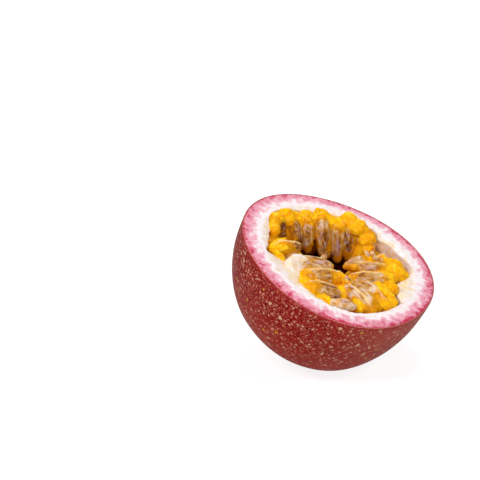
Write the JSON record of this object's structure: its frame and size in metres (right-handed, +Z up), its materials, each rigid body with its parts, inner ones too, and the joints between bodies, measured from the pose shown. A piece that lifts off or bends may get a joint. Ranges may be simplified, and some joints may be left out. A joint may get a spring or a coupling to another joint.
{
  "type": "passion fruit half",
  "caption": "Cut half of a ripe passion fruit: a red skin with pink flesh and white pith round yellow juice sacs, leaning on its round side.",
  "frame": {"origin": "centre of the small flat spot on the round side that the half rests on", "axes": "+Z up; the cut face leans 26 degrees from level towards +X and a little towards -Y, so -Y is the side it is seen from"},
  "size_m": [0.0552, 0.0559, 0.0423],
  "materials": {
    "skin": "waxy dark red fruit skin with fine cream specks, lightly glossy",
    "flesh": "moist cut flesh, pink under the skin and white inside",
    "pulp": "wet, glossy, half see-through yellow juice sacs with brown seeds",
    "seed": "brown seeds under a thin wet film"
  },
  "bodies": {
    "root": {"shell": "skin", "pulp": "pulp"}
  },
  "joints": []
}
